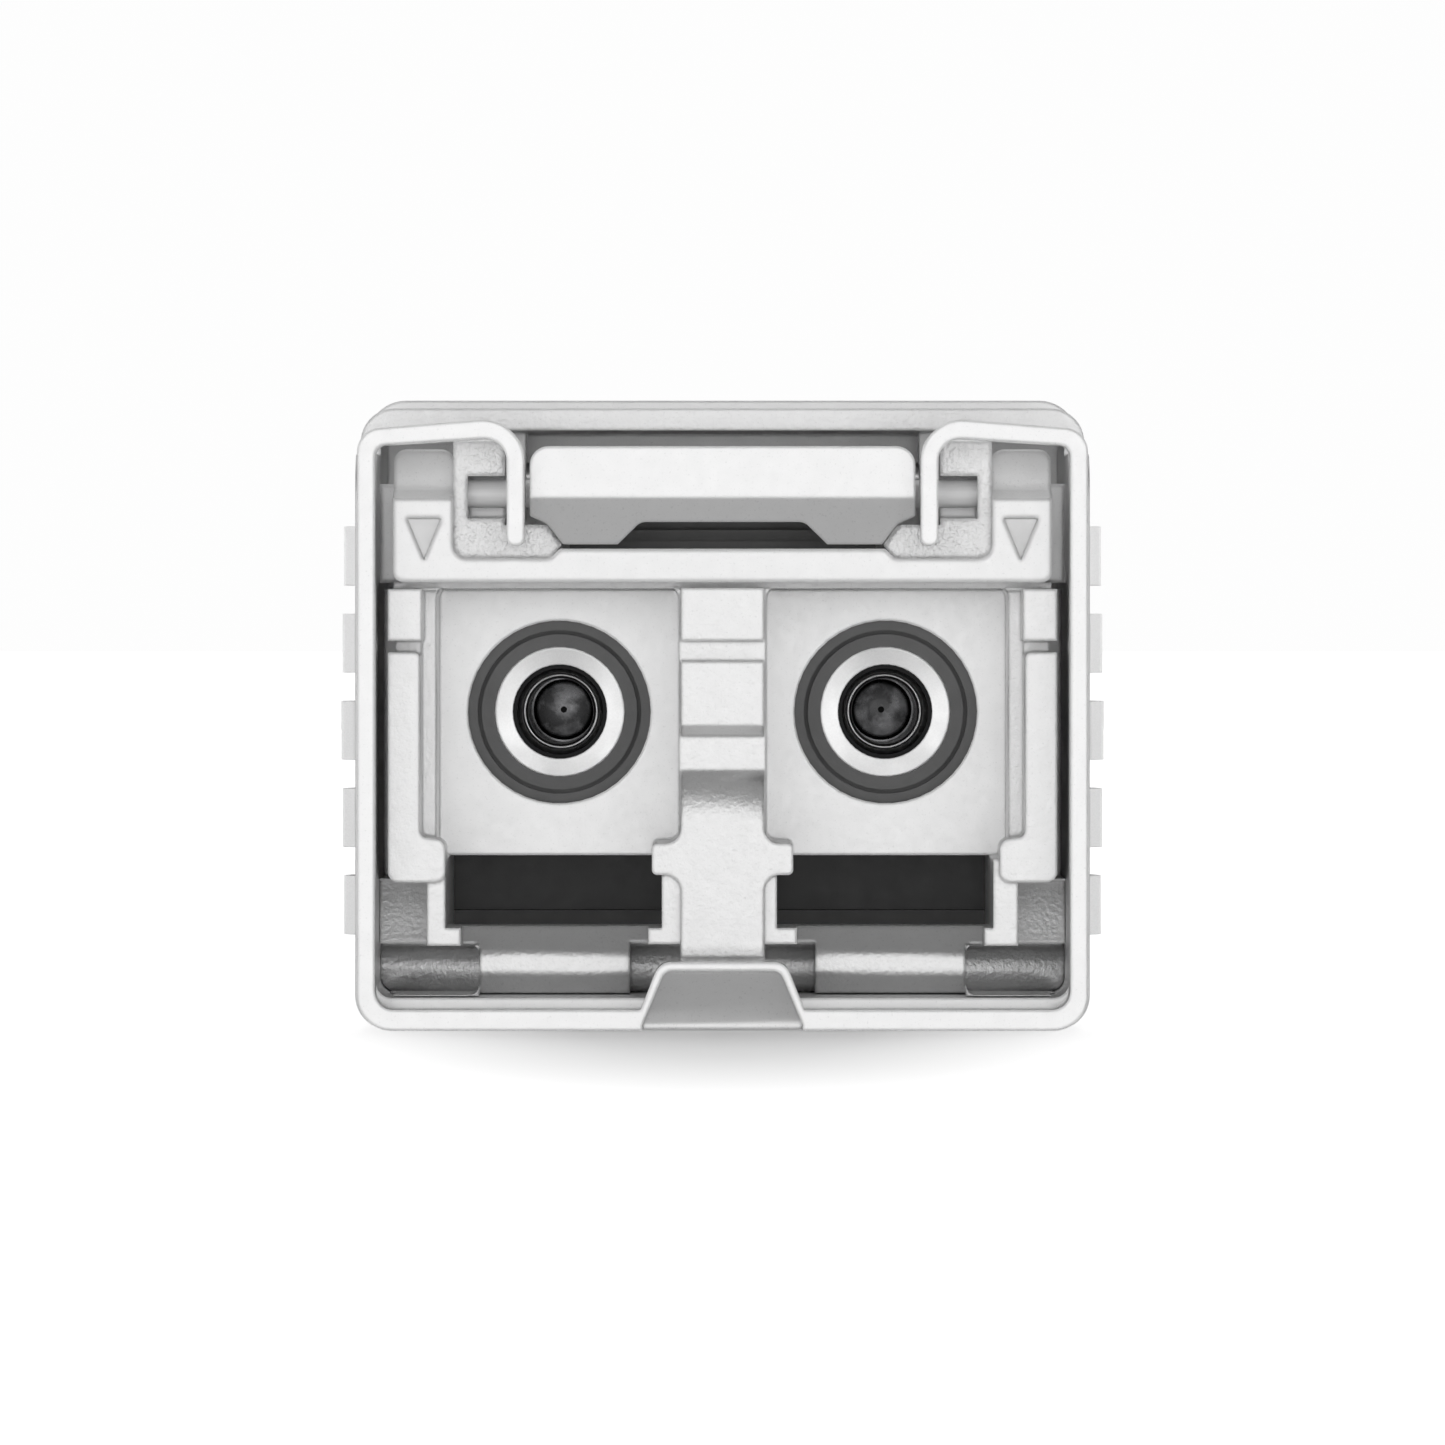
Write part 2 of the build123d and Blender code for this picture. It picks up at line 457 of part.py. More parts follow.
def screw_body(x, depth, recess):
    """Countersunk screw from the label side; recess is the depth of its hexagonal drive."""
    base = Pos(x, y_at(depth), BODY_BOTTOM + 0.05)
    low = (Align.CENTER, Align.CENTER, Align.MIN)
    screw = base * Cone(0.85, 0.42, 0.45, align=low)
    screw += base * Cylinder(0.42, 2.6, align=low)
    if recess == 0:
        return screw + Pos(x, y_at(depth), 0) * Cylinder(0.85, BODY_BOTTOM + 0.05, align=low)
    return screw - base * extrude(RegularPolygon(0.34, 6), recess)


def emi_collar():
    """Spring-steel band round the body with bowed grounding fingers on every side."""
    thick = 0.1
    x_in = BODY_HALF_WIDTH - COLLAR_RECESS
    z_low, z_high = BODY_BOTTOM + COLLAR_RECESS, BODY_TOP - COLLAR_RECESS
    band = along(rounded_rect(-x_in - thick, x_in + thick, z_low - thick, z_high + thick, 0.4), 9.02, 9.9)
    band -= along(rounded_rect(-x_in, x_in, z_low, z_high, 0.25), 8, 11)
    band -= block(-3.25, 3.25, 8, 11, BODY_TOP - 0.5, 12)
    bow = [(9.8, 0.0), (10.35, 0.58), (10.7, 0.78), (11.1, 0.84), (11.5, 0.78), (11.9, 0.58), (13.2, 0.05)]
    skin = bow + [(d, h + thick) for d, h in reversed(bow)]
    finger_high = 1.16
    for k in range(5):
        z = 5.54 + (k - 2) * 1.717
        reach = 1.0 - 0.03 * abs(k - 2)
        profile = [(y_at(d), x_in + h * reach) for d, h in skin]
        finger = make_face(Polyline(*[(x, y) for y, x in profile], close=True))
        finger = extrude(Plane.XY.offset(z - finger_high / 2) * finger, finger_high)
        band += both_sides(finger)
    for x in (-4.8, -2.4, 0.0, 2.4, 4.8):
        lower = [(d, z_low - h * 0.9) for d, h in skin]
        band += across(lower, x - 0.85, x + 0.85)
        if abs(x) > 3.6:
            upper = [(d, z_high + h * 0.9) for d, h in skin]
            band += across(upper, x - 0.85, x + 0.85)
    return band


def circuit_board():
    """Board with a necked front, and a bevelled card edge at the rear."""
    half = BOARD_WIDTH / 2
    z0, z1 = BOARD_TOP - BOARD_THICKNESS, BOARD_TOP
    board = block(-half, half, BOARD_FRONT, BOARD_BACK, z0, z1)
    board += block(-5.6, 5.6, 23.0, 44.0, z0, z1)
    for depth in (24.0, 31.0, 38.0):
        for side in (-1, 1):
            board -= block(side * 4.8, side * 6, depth - 0.1, depth + 0.9, z0 - 1, z1 + 1)
    for z, lift in ((z0, -1), (z1, 1)):
        bevel = across([(BOARD_BACK - 0.5, z), (BOARD_BACK + 0.1, z), (BOARD_BACK + 0.1, z - lift * 0.3)], -6, 6)
        board -= bevel
    return board


def contact_pads():
    """Ten gold pads on each face of the card edge."""
    thick = 0.05
    pads = Part()
    for k in range(PADS_PER_SIDE):
        x = (k - (PADS_PER_SIDE - 1) / 2) * PAD_PITCH
        front = 49.2 if k in (0, 9) else 49.6
        pads += block(x - 0.3, x + 0.3, front, 52.6, BOARD_TOP, BOARD_TOP + thick)
        low = BOARD_TOP - BOARD_THICKNESS
        pads += block(x - 0.3, x + 0.3, front, 52.6, low - thick, low)
    return pads


def chip(x, depth, wide, long, high, under=False):
    """Package on the board's latch face, or on the other face."""
    z = BOARD_TOP - BOARD_THICKNESS - high if under else BOARD_TOP
    return block(x - wide / 2, x + wide / 2, depth - long / 2, depth + long / 2, z, z + high)


def passive_components():
    """Chip capacitors and resistors in rows on both faces of the board."""
    parts = Part()
    for k in range(6):
        parts += chip(-4.45, 25.6 + k * 2.2, 0.5, 1.0, 0.5)
        parts += chip(4.45, 25.6 + k * 2.2, 0.5, 1.0, 0.5)
    for k in range(5):
        parts += chip(-3.2 + k * 1.6, 45.2, 0.8, 1.6, 0.6)
        parts += chip(-3.2 + k * 1.6, 42.0, 0.6, 1.2, 0.5, under=True)
    return parts


def lever_spring():
    """Small compression spring under the rear of the lever, in a cup on the retainer."""
    wire, radius, height, base = 0.09, 0.35, 0.5, 8.9
    turns = Helix(pitch=0.14, height=height - 2 * wire, radius=radius)
    coil = sweep(Plane(turns @ 0, z_dir=turns % 0) * Circle(wire / 2), turns, is_frenet=True)
    return Pos(0, y_at(9.4), base + wire) * coil


os.makedirs("parts", exist_ok=True)

write("nose_housing", nose_housing())
write("latch_bracket", latch_bracket())
write("port_insert", front_details(port_insert()))
write("lever_stop", lever_stop())
write("osa_retainer", osa_retainer())
for port, port_x, cap in (("receive", -PORT_X, 2.2), ("transmit", PORT_X, 2.35)):
    write(f"{port}_barrel", barrel(port_x))
    write(f"{port}_entry_ring", entry_ring(port_x))
    write(f"{port}_sleeve", sleeve(port_x))
    write(f"{port}_fibre_stub", rod_y(port_x, PORT_AXIS_HEIGHT, BARREL_BORE, STUB_FACE, BARREL_BACK))
    write(f"{port}_port_seal", port_seal(port_x))
    write(f"{port}_optical_can", optical_can(port_x, cap))
    write(f"{port}_flex_circuit", flex_circuit(port_x))
write("base_shell", base_shell())
write("label_side_cover", label_side_cover())
write("cover_screws", screw_body(-4, 18.5, 0.25) + screw_body(4, 18.5, 0.25)
      + screw_body(-4, 50.0, 0.25) + screw_body(4, 50.0, 0.25))
write("blank_label", block(-5.1, 5.1, 21.1, 46.9, BODY_BOTTOM + 0.04, BODY_BOTTOM + 0.12))
write("emi_collar", emi_collar())
write("circuit_board", circuit_board())
write("contact_pads", contact_pads())
write("laser_driver", chip(2.4, 27.5, 3.0, 3.0, 0.9))
write("limiting_amplifier", chip(-2.0, 27.5, 3.0, 3.0, 0.9))
write("microcontroller", chip(0.0, 35.0, 5.0, 5.0, 0.9))
write("memory_chip", chip(0.0, 33.0, 4.0, 5.0, 1.2, under=True))
write("passive_components", passive_components())
write("thermal_pad", block(0.9, 3.9, 26.0, 29.0, BOARD_TOP + 0.9, BODY_TOP - LATCH_WALL))
write("bail", bail())
write("bail_cam_shaft", bail_cam_shaft())
write("latch_lever", latch_lever())
write("lever_pivot_pin", rod_x(LEVER_PIVOT_DEPTH, LEVER_PIVOT_HEIGHT, LEVER_PIN_RADIUS,
                               -LEVER_PIN_HALF_LENGTH, LEVER_PIN_HALF_LENGTH))
write("lever_spring", lever_spring())
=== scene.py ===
import json
import math

import bmesh
import bpy
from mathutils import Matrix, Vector


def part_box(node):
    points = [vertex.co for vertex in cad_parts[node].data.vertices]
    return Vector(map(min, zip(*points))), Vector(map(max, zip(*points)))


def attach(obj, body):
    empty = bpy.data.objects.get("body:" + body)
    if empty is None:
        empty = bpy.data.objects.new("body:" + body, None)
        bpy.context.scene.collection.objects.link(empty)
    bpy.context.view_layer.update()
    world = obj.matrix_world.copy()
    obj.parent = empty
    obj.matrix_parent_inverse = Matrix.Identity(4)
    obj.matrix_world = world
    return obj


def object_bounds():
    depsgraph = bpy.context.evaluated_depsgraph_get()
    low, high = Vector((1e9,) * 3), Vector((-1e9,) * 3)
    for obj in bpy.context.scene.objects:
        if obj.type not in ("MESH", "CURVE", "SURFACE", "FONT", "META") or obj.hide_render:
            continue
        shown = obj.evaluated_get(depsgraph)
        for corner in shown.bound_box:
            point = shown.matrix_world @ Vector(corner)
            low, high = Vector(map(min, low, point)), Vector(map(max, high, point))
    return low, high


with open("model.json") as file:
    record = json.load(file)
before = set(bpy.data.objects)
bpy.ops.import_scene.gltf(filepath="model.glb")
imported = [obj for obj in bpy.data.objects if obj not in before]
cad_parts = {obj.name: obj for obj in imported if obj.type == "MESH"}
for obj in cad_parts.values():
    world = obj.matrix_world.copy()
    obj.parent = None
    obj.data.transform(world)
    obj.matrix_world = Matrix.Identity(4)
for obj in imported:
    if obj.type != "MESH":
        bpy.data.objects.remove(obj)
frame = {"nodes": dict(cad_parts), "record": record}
cad_low, cad_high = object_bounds()
MM = 0.001
FRONT_Y = cad_low.y

# Camera, far in front of the ports and level, as for a catalogue picture.
VIEW_WIDTH = 27.04 * MM        # what the picture takes in at the bail's front face
VIEW_CENTRE_HEIGHT = 5.79 * MM
EYE_HEIGHT = 7.6 * MM
CAMERA_DISTANCE = 206 * MM
SENSOR = 36.0

# Engraved arrows: the bottom of the engraving behind the bail's face, and the thin grey sheet that lies on it
# as painted shade.
MARK_DEPTH = 1.12 * MM
MARK_SHADE_THICKNESS = 0.02 * MM
MARK_SHADE_CORNERS = [(5.92 * MM, 9.605 * MM), (5.31 * MM, 9.605 * MM), (5.615 * MM, 8.87 * MM)]

# Ends of the fibre stubs: a shallow dome with the fibre in its middle.
DOME_RADIUS = 0.6 * MM
DOME_RISE = 0.045 * MM
DOME_STEPS = 12
FIBRE_RADIUS = 0.0625 * MM

# The shadow painted into the floor's glow reaches this far sideways and forwards from the nose.
PAINTED_SHADOW_HALF_WIDTH = 8.5 * MM
PAINTED_SHADOW_LENGTH = 36 * MM

# Brightness of the surroundings: seen by the camera, and as they light the object from below and above.
BACKDROP = 0.985
GLOW_BELOW = 0.28
GLOW_ABOVE = 0.12

# Soft boxes: name, centre in metres, width and height, and radiance.
SOFTBOXES = [
    ("front", (0, -0.55, 0.03), (0.8, 0.34), 1.2),
    ("back", (0, 0.55, 0.12), (1.2, 0.3), 0.9),
    ("top", (0, 0.07, 0.4), (0.5, 0.45), 0.9),
    ("side", (-0.45, 0.12, 0.12), (0.6, 0.25), 1.0),
    ("side", (0.45, 0.12, 0.12), (0.6, 0.25), 1.0),
]


def make_camera():
    """Camera at the photograph's angle and framing."""
    data = bpy.data.cameras.new("camera")
    camera = bpy.data.objects.new("camera", data)
    bpy.context.scene.collection.objects.link(camera)
    data.sensor_width = SENSOR
    data.lens = SENSOR * CAMERA_DISTANCE / VIEW_WIDTH
    data.shift_y = (VIEW_CENTRE_HEIGHT - EYE_HEIGHT) / VIEW_WIDTH
    data.clip_start = 0.01
    data.clip_end = 10.0
    camera.location = (0, FRONT_Y - CAMERA_DISTANCE, EYE_HEIGHT)
    camera.rotation_euler = (math.radians(90), 0, 0)
    bpy.context.scene.camera = camera


class Shader:
    """A node material under construction: a Principled shader and short calls for its inputs."""

    def __init__(self, name):
        self.material = bpy.data.materials.new(name)
        self.material.use_nodes = True
        self.nodes = self.material.node_tree.nodes
        self.links = self.material.node_tree.links
        self.main = self.nodes["Principled BSDF"]
        self.place = self.nodes.new("ShaderNodeTexCoord").outputs["Object"]

    def set(self, **values):
        """Constant inputs of the shader, with _ for a space in their names."""
        for name, value in values.items():
            self.main.inputs[name.replace("_", " ")].default_value = value

    def to(self, name, output):
        """Link an output to one of the shader's inputs."""
        self.links.new(output, self.main.inputs[name])

    def noise(self, size, detail=3.0, stretch=(1, 1, 1), rough=0.55):
        """Noise whose lumps are about size across, in metres."""
        mapping = self.nodes.new("ShaderNodeMapping")
        mapping.inputs["Scale"].default_value = [s / size for s in stretch]
        self.links.new(self.place, mapping.inputs["Vector"])
        noise = self.nodes.new("ShaderNodeTexNoise")
        noise.inputs["Scale"].default_value = 1.0
        noise.inputs["Detail"].default_value = detail
        noise.inputs["Roughness"].default_value = rough
        self.links.new(mapping.outputs["Vector"], noise.inputs["Vector"])
        return noise.outputs["Fac"]

    def along(self, axis, low, high, mirrored=False):
        """0 where the axis reads low and 1 where it reads high; mirrored reads both sides alike."""
        split = self.nodes.new("ShaderNodeSeparateXYZ")
        self.links.new(self.place, split.inputs["Vector"])
        value = split.outputs[axis]
        if mirrored:
            size = self.nodes.new("ShaderNodeMath")
            size.operation = "ABSOLUTE"
            self.links.new(value, size.inputs[0])
            value = size.outputs["Value"]
        span = self.nodes.new("ShaderNodeMapRange")
        span.inputs["From Min"].default_value = low
        span.inputs["From Max"].default_value = high
        self.links.new(value, span.inputs["Value"])
        return span.outputs["Result"]

    def length_of(self, vector):
        """Length of a vector."""
        node = self.nodes.new("ShaderNodeVectorMath")
        node.operation = "LENGTH"
        self.links.new(vector, node.inputs[0])
        return node.outputs["Value"]

    def ramp(self, value, stops):
        """Colour ramp through (position, grey or colour) stops."""
        node = self.nodes.new("ShaderNodeValToRGB")
        elements = node.color_ramp.elements
        while len(elements) < len(stops):
            elements.new(0.5)
        for element, (position, colour) in zip(elements, stops):
            element.position = position
            element.color = (*colour, 1) if isinstance(colour, tuple) else (colour,) * 3 + (1,)
        self.links.new(value, node.inputs["Fac"])
        return node.outputs["Color"]

    def times(self, first, second):
        """Product of two varying outputs."""
        node = self.nodes.new("ShaderNodeMix")
        node.data_type = "RGBA"
        node.blend_type = "MULTIPLY"
        node.inputs[0].default_value = 1.0
        self.links.new(first, node.inputs["A"])
        self.links.new(second, node.inputs["B"])
        return node.outputs["Result"]

    def bump(self, height, distance, after=None, strength=None):
        """Relief of a height in metres, on top of the normal in after, and weighed by strength."""
        node = self.nodes.new("ShaderNodeBump")
        node.inputs["Distance"].default_value = distance
        self.links.new(height, node.inputs["Height"])
        if strength is not None:
            self.links.new(strength, node.inputs["Strength"])
        if after is not None:
            self.links.new(after, node.inputs["Normal"])
        self.links.new(node.outputs["Normal"], self.main.inputs["Normal"])
        return node.outputs["Normal"]

    def soft_edges(self, radius):
        """Normals rounded over edges."""
        node = self.nodes.new("ShaderNodeBevel")
        node.samples = 4
        node.inputs["Radius"].default_value = radius
        return node.outputs["Normal"]


def cast_metal(name, light, rough, edge=0.09 * MM, grit=0.011 * MM, sandy_to=4.6 * MM):
    """Plated casting: satin front faces, and a sandy as-cast skin from 1.2 mm behind them to sandy_to.

    A grit of 0 leaves the sandy skin out.
    """
    s = Shader(name)
    s.set(Metallic=0.85, IOR=1.6)
    mottle = s.ramp(s.noise(0.3 * MM, 5), [(0.35, light * 0.985), (0.65, light)])
    speck = s.ramp(s.noise(0.05 * MM, 2), [(0.28, 0.9), (0.4, 1.0)])
    s.to("Base Color", s.times(mottle, speck))
    s.to("Roughness", s.ramp(s.noise(0.15 * MM, 3), [(0.3, rough - 0.02), (0.7, rough + 0.02)]))
    normal = s.bump(s.noise(0.04 * MM, 3, rough=0.6), 0.0006 * MM, after=s.soft_edges(edge))
    if grit:
        # The ramps below read tenths of this reach.
        reach = 10 * MM
        depth = s.along("Y", FRONT_Y, FRONT_Y + reach)
        end = sandy_to / reach
        skin = s.ramp(depth, [(0.105, 0.03), (0.12, 1.0), (end - 0.02, 1.0), (end + 0.015, 0.08)])
        normal = s.bump(s.noise(0.09 * MM, 3, rough=0.5), grit, after=normal, strength=skin)
        # The pockets low in the corners and beside the pull tab are the roughest.
        low = s.ramp(s.along("Z", 0, reach), [(0.15, 1.0), (0.16, 0.0)])
        sides = s.ramp(s.along("X", 0, reach, mirrored=True),
                       [(0.17, 1.0), (0.18, 0.0), (0.455, 0.0), (0.462, 1.0)])
        s.bump(s.noise(0.1 * MM, 4, rough=0.6), 0.022 * MM, after=normal,
               strength=s.times(s.times(low, sides), skin))
    return s.material


def brushed_metal(name, colour, rough, axis, metallic=1.0):
    """Drawn or turned metal, with fine lines along one axis."""
    s = Shader(name)
    s.set(Metallic=metallic)
    stretch = [1.0, 1.0, 1.0]
    stretch[axis] = 0.03
    lines = s.noise(0.03 * MM, 4, stretch=stretch)
    low = tuple(c * 0.93 for c in colour)
    s.to("Base Color", s.ramp(lines, [(0.3, low), (0.7, colour)]))
    s.to("Roughness", s.ramp(s.noise(0.6 * MM, 3), [(0.3, rough - 0.04), (0.7, rough + 0.05)]))
    s.bump(lines, 0.0012 * MM, after=s.soft_edges(0.03 * MM))
    return s.material


def moulding(name, colour, rough, depth=0.002 * MM, contrast=0.85, **more):
    """Moulded plastic, rubber or ceramic, with a fine grain and uneven gloss."""
    s = Shader(name)
    s.set(**more)
    low = tuple(c * contrast for c in colour)
    s.to("Base Color", s.ramp(s.noise(0.5 * MM, 4), [(0.4, low), (0.6, colour)]))
    s.to("Roughness", s.ramp(s.noise(0.3 * MM, 3), [(0.3, rough - 0.04), (0.7, rough + 0.06)]))
    s.bump(s.noise(0.05 * MM, 3), depth)
    return s.material


def board_laminate(name):
    """Solder mask with copper traces and flooded areas showing through it."""
    s = Shader(name)
    s.set(Coat_Weight=0.5, Coat_Roughness=0.15)
    brick = s.nodes.new("ShaderNodeTexBrick")
    brick.inputs["Scale"].default_value = 1 / (2.2 * MM)
    brick.inputs["Mortar Size"].default_value = 0.03
    brick.inputs["Color1"].default_value = (0.012, 0.10, 0.045, 1)
    brick.inputs["Color2"].default_value = (0.016, 0.12, 0.055, 1)
    brick.inputs["Mortar"].default_value = (0.03, 0.2, 0.09, 1)
    s.links.new(s.place, brick.inputs["Vector"])
    s.to("Base Color", brick.outputs["Color"])
    s.to("Roughness", s.ramp(s.noise(0.4 * MM), [(0.3, 0.3), (0.7, 0.42)]))
    s.bump(brick.outputs["Fac"], 0.01 * MM)
    return s.material


# One material for each material slot, and a few more for surfaces that differ from their slot's.
MATERIALS = {
    "nose_casting": cast_metal("nose_casting", 0.9, 0.4),
    "bracket_casting": cast_metal("bracket_casting", 0.9, 0.4, edge=0.14 * MM, grit=0.03 * MM,
                                  sandy_to=1.6 * MM),
    "shell_casting": cast_metal("shell_casting", 0.86, 0.36, grit=0),
    "bail_metal": cast_metal("bail_metal", 0.91, 0.38, grit=0),
    "lever_metal": cast_metal("lever_metal", 0.9, 0.38, grit=0),
    "turned_steel": brushed_metal("turned_steel", (0.86, 0.86, 0.86), 0.33, 1),
    "satin_steel": brushed_metal("satin_steel", (0.94, 0.94, 0.94), 0.55, 0, metallic=0.25),
    "spring_steel": brushed_metal("spring_steel", (0.93, 0.93, 0.93), 0.42, 1, metallic=0.45),
    "can_metal": brushed_metal("can_metal", (0.72, 0.66, 0.52), 0.28, 1),
    "gold_plating": brushed_metal("gold_plating", (0.95, 0.68, 0.28), 0.22, 1),
    "black_moulding": moulding("black_moulding", (0.11, 0.11, 0.111), 0.45, contrast=0.93),
    "grey_moulding": moulding("grey_moulding", (0.2, 0.2, 0.2), 0.5, contrast=0.93),
    "black_ring": moulding("black_ring", (0.006, 0.006, 0.007), 0.4, Specular_IOR_Level=0.2),
    "seal_rubber": moulding("seal_rubber", (0.15, 0.15, 0.15), 0.5, contrast=0.95),
    "sleeve_ceramic": moulding("sleeve_ceramic", (0.012, 0.012, 0.013), 0.16, depth=0.0004 * MM,
                               Specular_IOR_Level=0.3),
    "stub_glass": moulding("stub_glass", (0.3, 0.3, 0.31), 0.26, depth=0.0006 * MM, contrast=0.2,
                           Metallic=0.9, Coat_Weight=0.5, Coat_Roughness=0.05),
    # The engraved arrows' sheet: a duller grey than the casting, as painted shade.
    "mark_painted_shade": moulding("mark_painted_shade", (0.85, 0.85, 0.85), 0.5, contrast=0.97, Metallic=0.75),
    "polyimide_flex": moulding("polyimide_flex", (0.5, 0.2, 0.03), 0.3, Coat_Weight=0.4),
    "board_laminate": board_laminate("board_laminate"),
    "chip_plastic": moulding("chip_plastic", (0.03, 0.03, 0.032), 0.5),
    "passive_ceramic": moulding("passive_ceramic", (0.42, 0.3, 0.18), 0.45),
    "thermal_rubber": moulding("thermal_rubber", (0.45, 0.5, 0.62), 0.7),
    "label_film": moulding("label_film", (0.8, 0.8, 0.8), 0.5),
}

# Nodes whose surface differs from the rest of their material slot.
OWN_LOOK = {
    # lever_stop, a grey moulded piece behind the lever's notch, stands in for the shade inside the latch:
    # painted shade.
    "bail_cam_shaft": "satin_steel", "latch_bracket": "bracket_casting", "lever_stop": "grey_moulding",
}

# Width of the rounding on each casting's edges.
BEVELLED = {
    "nose_housing": 0.06 * MM, "latch_bracket": 0.06 * MM, "port_insert": 0.05 * MM, "bail": 0.08 * MM,
    "latch_lever": 0.05 * MM, "base_shell": 0.06 * MM, "label_side_cover": 0.05 * MM,
    "osa_retainer": 0.03 * MM, "emi_collar": 0.03 * MM,
}


def finish_cad_nodes():
    """Give every CAD node its material, and round the edges of the castings."""
    slots = {row["node"]: row["material_slot"] for row in frame["record"]["subparts"]}
    for name, node in frame["nodes"].items():
        material = MATERIALS[OWN_LOOK.get(name, slots[name])]
        if not node.material_slots:
            node.data.materials.append(material)
        for slot in node.material_slots:
            slot.material = material
        if name in BEVELLED:
            weld = node.modifiers.new("weld", "WELD")
            weld.merge_threshold = 1e-7
            bevel = node.modifiers.new("edges", "BEVEL")
            bevel.width = BEVELLED[name]
            bevel.segments = 2
            bevel.limit_method = "ANGLE"
            bevel.angle_limit = math.radians(40)
            bevel.harden_normals = True


def middle(node):
    """Centre of a node's box."""
    low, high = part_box(node)
    return (low + high) / 2


def add_piece(name, build, slot, material=None):
    """Turn a bmesh into a piece on the housing, with a slot's finish or a material of its own."""
    bmesh.ops.recalc_face_normals(build, faces=build.faces)
    mesh = bpy.data.meshes.new(name)
    build.to_mesh(mesh)
    build.free()
    piece = bpy.data.objects.new(name, mesh)
    bpy.context.scene.collection.objects.link(piece)
    mesh.materials.append(MATERIALS[material or slot])
    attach(piece, "housing")


def join_rings(build, near, far):
    """Smooth quads between two rings of vertices."""
    for k in range(len(near)):
        after = (k + 1) % len(near)
        face = build.faces.new((near[k], near[after], far[after], far[k]))
        face.smooth = True


def turned(name, centre, profile, slot, segments=96, closed=False):
    """Piece turned about an axis along Y through (radius, y) points.

    A closed profile joins its last point to its first, as a ring does; another ends in flat discs.
    """
    build = bmesh.new()
    turns = [math.tau * k / segments for k in range(segments)]
    rings = []
    for radius, y in profile:
        rings.append([build.verts.new((centre.x + radius * math.cos(turn), y,
                                       centre.z + radius * math.sin(turn))) for turn in turns])
    for near, far in zip(rings, rings[1:]):
        join_rings(build, near, far)
    if closed:
        join_rings(build, rings[-1], rings[0])
    else:
        build.faces.new(rings[0])
        build.faces.new(rings[-1])
    add_piece(name, build, slot)


def make_engraving_shade(port, side):
    """Dull grey sheet in the bottom of a post's engraved arrow, as painted shade for the engraving."""
    back = FRONT_Y + MARK_DEPTH
    build = bmesh.new()
    backs = [build.verts.new((side * x, back, z)) for x, z in MARK_SHADE_CORNERS]
    fronts = [build.verts.new((side * x, back - MARK_SHADE_THICKNESS, z)) for x, z in MARK_SHADE_CORNERS]
    build.faces.new(backs)
    build.faces.new(fronts)
    for k in range(3):
        after = (k + 1) % 3
        build.faces.new((backs[k], backs[after], fronts[after], fronts[k]))
    add_piece(f"{port}_mark_painted_shade", build, "nose_casting", "mark_painted_shade")


def make_port_details(port):
    """Domed end of the fibre stub with the fibre in its middle, and the sleeve's polished mouth."""
    centre = middle(f"{port}_fibre_stub")
    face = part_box(f"{port}_fibre_stub")[0].y
    rim = face - 0.03 * MM
    dome = [(DOME_RADIUS, face), (DOME_RADIUS, face - 0.02 * MM)]
    for k in range(1, DOME_STEPS + 1):
        share = k / DOME_STEPS
        radius = DOME_RADIUS * 0.96 * (1 - share) + FIBRE_RADIUS * share
        dome.append((radius, rim - DOME_RISE * (1 - (radius / DOME_RADIUS) ** 2)))
    turned(f"{port}_stub_dome", centre, dome, "stub_glass")
    # The mouth's shallow cone catches light left and right.
    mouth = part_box(f"{port}_sleeve")[0].y
    lip = [(0.64 * MM, mouth), (0.645 * MM, mouth - 0.002 * MM), (0.7 * MM, mouth - 0.012 * MM),
           (0.73 * MM, mouth - 0.014 * MM), (0.733 * MM, mouth)]
    turned(f"{port}_sleeve_lip", centre, lip, "turned_steel", closed=True)
    tip = dome[-1][1]
    fibre = [(FIBRE_RADIUS, tip + 0.01 * MM), (FIBRE_RADIUS, tip - 0.004 * MM),
             (FIBRE_RADIUS * 0.8, tip - 0.006 * MM)]
    turned(f"{port}_fibre_end", centre, fibre, "black_ring", segments=32)


def make_stage():
    """Pale floor under the nose, with a painted shadow of the object in its glow. Reflections and light from
    below pass through it, for the metal's contrast.
    """
    bpy.ops.mesh.primitive_plane_add(size=6.0, location=(0, 0, -0.01 * MM))
    floor = bpy.context.object
    floor.name = "floor"
    s = Shader("floor")
    s.set(Base_Color=(0.9, 0.9, 0.9, 1), Roughness=0.9, Specular_IOR_Level=0.0)
    s.set(Emission_Color=(1, 1, 1, 1))
    # The glow grows with distance, so that the floor meets the white surroundings without an edge,
    # and it is weakest just in front of the nose, where it is dimmed into a painted shadow of the object.
    near = s.nodes.new("ShaderNodeMapping")
    near.inputs["Location"].default_value = (0, -FRONT_Y / PAINTED_SHADOW_LENGTH, 0)
    near.inputs["Scale"].default_value = (1 / PAINTED_SHADOW_HALF_WIDTH, 1 / PAINTED_SHADOW_LENGTH, 1)
    s.links.new(s.place, near.inputs["Vector"])
    # Painted shadow: this ramp dims the floor's glow to a quarter at the nose and lets it back to full over the
    # shadow's reach.
    painted_shadow = s.ramp(s.length_of(near.outputs["Vector"]), [(0.0, 0.25), (0.3, 0.36), (0.65, 0.72), (0.9, 1.0)])
    glow = s.ramp(s.length_of(s.place), [(0.03, 0.68), (0.3, 0.95), (0.6, 0.985)])
    s.to("Emission Strength", s.times(glow, painted_shadow))
    floor.data.materials.append(s.material)
    floor.visible_glossy = False
    floor.visible_shadow = False


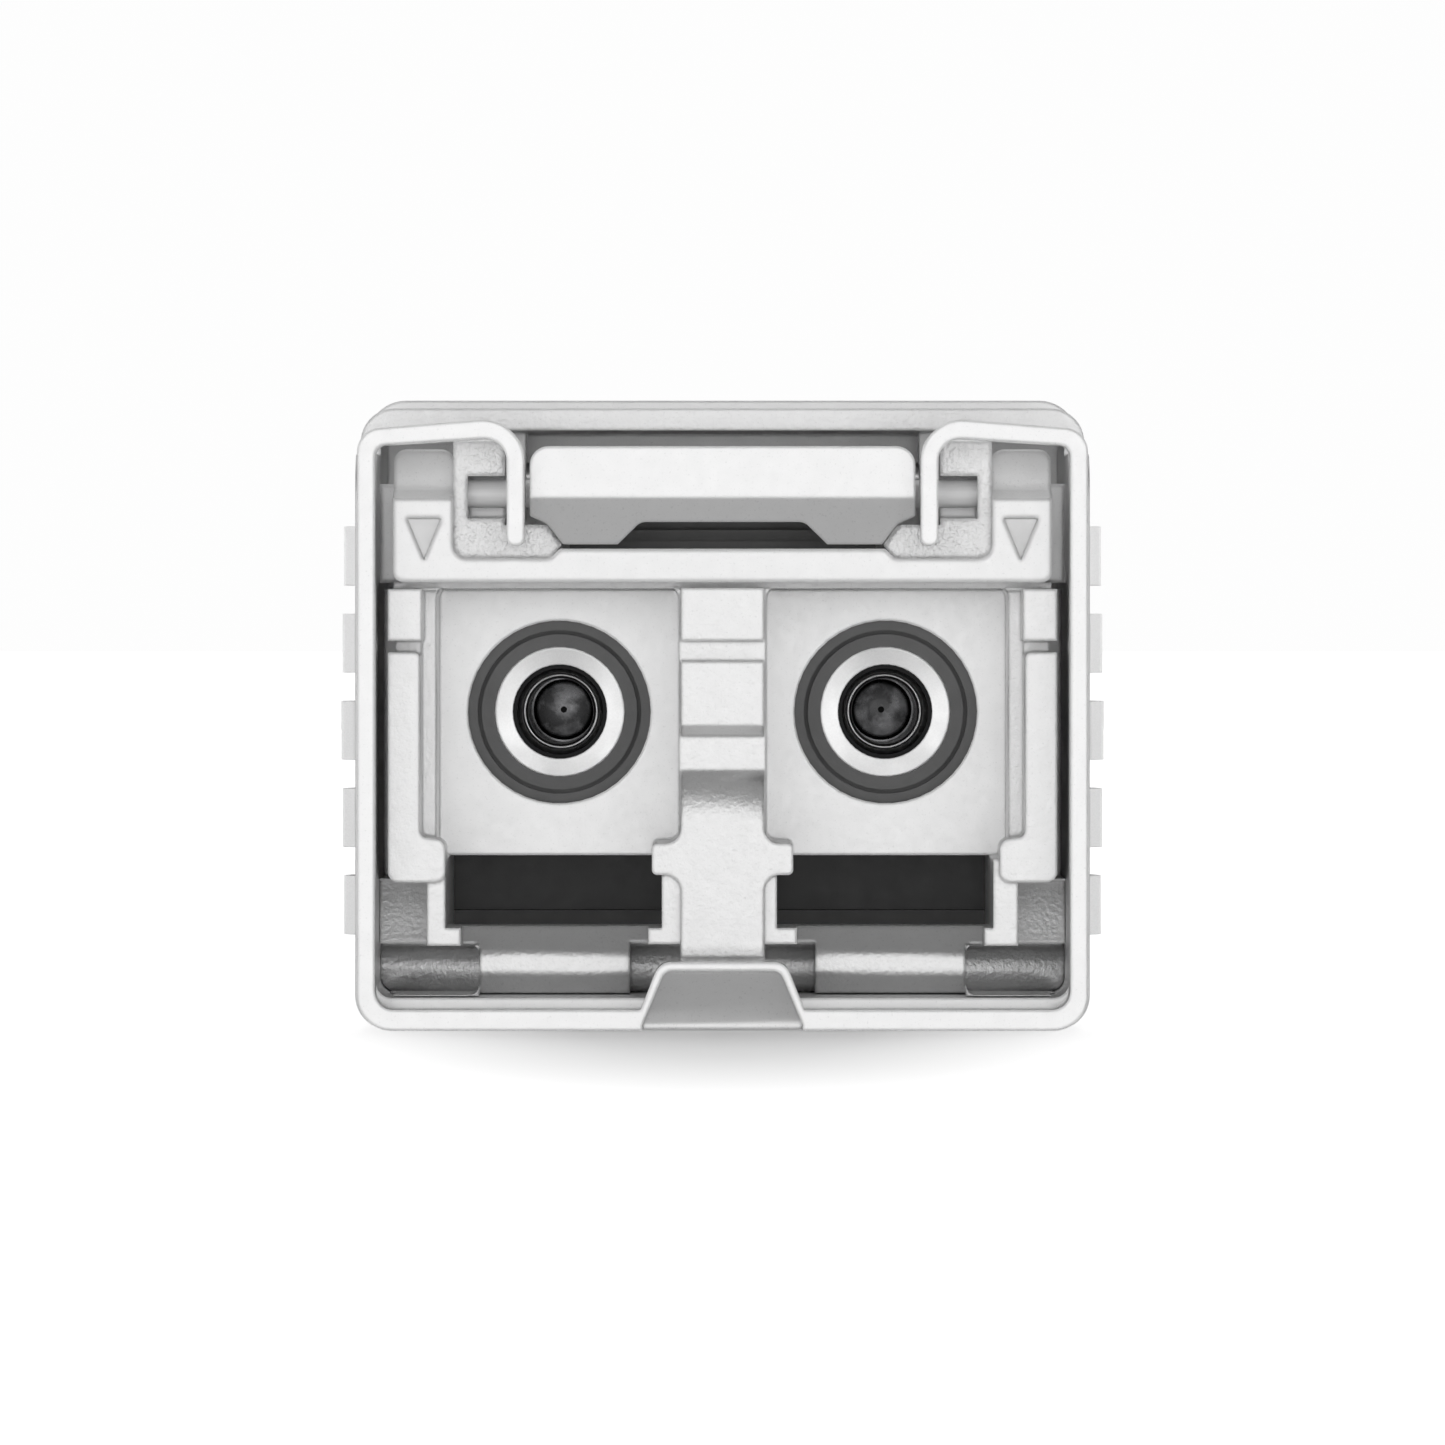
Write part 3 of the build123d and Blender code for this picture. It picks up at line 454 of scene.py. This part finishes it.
def softbox(name, place, size, radiance):
    """Rectangular light of the given radiance, turned to the nose."""
    data = bpy.data.lights.new(name, "AREA")
    data.shape = "RECTANGLE"
    data.size, data.size_y = size
    data.energy = radiance * math.pi * size[0] * size[1]
    light = bpy.data.objects.new(name, data)
    bpy.context.scene.collection.objects.link(light)
    light.location = place
    aim = Vector((0, FRONT_Y, 6 * MM)) - Vector(place)
    light.rotation_euler = aim.to_track_quat("-Z", "Y").to_euler()


def make_light():
    """White surroundings to the eye, dimmer to the object, and soft boxes all round it."""
    world = bpy.data.worlds.new("studio")
    bpy.context.scene.world = world
    world.use_nodes = True
    nodes, links = world.node_tree.nodes, world.node_tree.links
    dim = nodes["Background"]
    dim.inputs["Color"].default_value = (1, 1, 1, 1)
    # Lighter below, as over a white table.
    split = nodes.new("ShaderNodeSeparateXYZ")
    links.new(nodes.new("ShaderNodeTexCoord").outputs["Generated"], split.inputs["Vector"])
    height = nodes.new("ShaderNodeMapRange")
    height.inputs["From Min"].default_value = -0.5
    height.inputs["From Max"].default_value = 0.1
    height.inputs["To Min"].default_value = GLOW_BELOW
    height.inputs["To Max"].default_value = GLOW_ABOVE
    links.new(split.outputs["Z"], height.inputs["Value"])
    links.new(height.outputs["Result"], dim.inputs["Strength"])
    white = nodes.new("ShaderNodeBackground")
    white.inputs["Color"].default_value = (1, 1, 1, 1)
    white.inputs["Strength"].default_value = BACKDROP
    mix = nodes.new("ShaderNodeMixShader")
    links.new(nodes.new("ShaderNodeLightPath").outputs["Is Camera Ray"], mix.inputs["Fac"])
    links.new(dim.outputs["Background"], mix.inputs[1])
    links.new(white.outputs["Background"], mix.inputs[2])
    links.new(mix.outputs["Shader"], nodes["World Output"].inputs["Surface"])
    for box in SOFTBOXES:
        softbox(*box)


make_camera()
finish_cad_nodes()
for port_name, port_side in (("receive", -1), ("transmit", 1)):
    make_port_details(port_name)
    make_engraving_shade(port_name, port_side)
make_stage()
make_light()
bpy.context.scene.view_settings.view_transform = "Standard"
